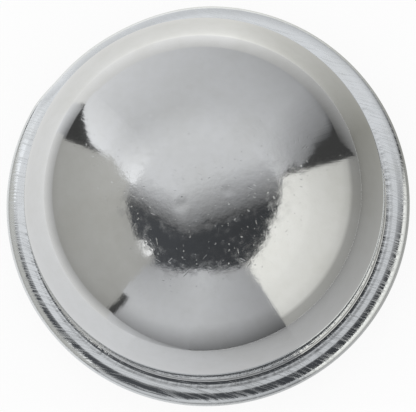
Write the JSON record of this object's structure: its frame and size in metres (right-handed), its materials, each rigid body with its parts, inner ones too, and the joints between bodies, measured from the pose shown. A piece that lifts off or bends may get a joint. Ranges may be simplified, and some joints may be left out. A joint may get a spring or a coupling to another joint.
{
  "type": "hub dust cap",
  "caption": "Domed dust cap pressed from bright zinc-plated steel sheet, with a folded flange and an open skirt that is driven into a wheel hub to keep grease in and dirt out.",
  "frame": {"origin": "centre of the open rim, in the plane it stands on", "axes": "+Z along the cap's axis from the open rim to the top of the crown; X and Y lie in the rim's plane"},
  "size_m": [0.056, 0.056, 0.0293],
  "materials": {
    "zinc_plate": "bright zinc plate on drawn steel, satin on the flange, fine handling scratches"
  },
  "bodies": {
    "root": {"dust_cap": "zinc_plate"}
  },
  "joints": []
}
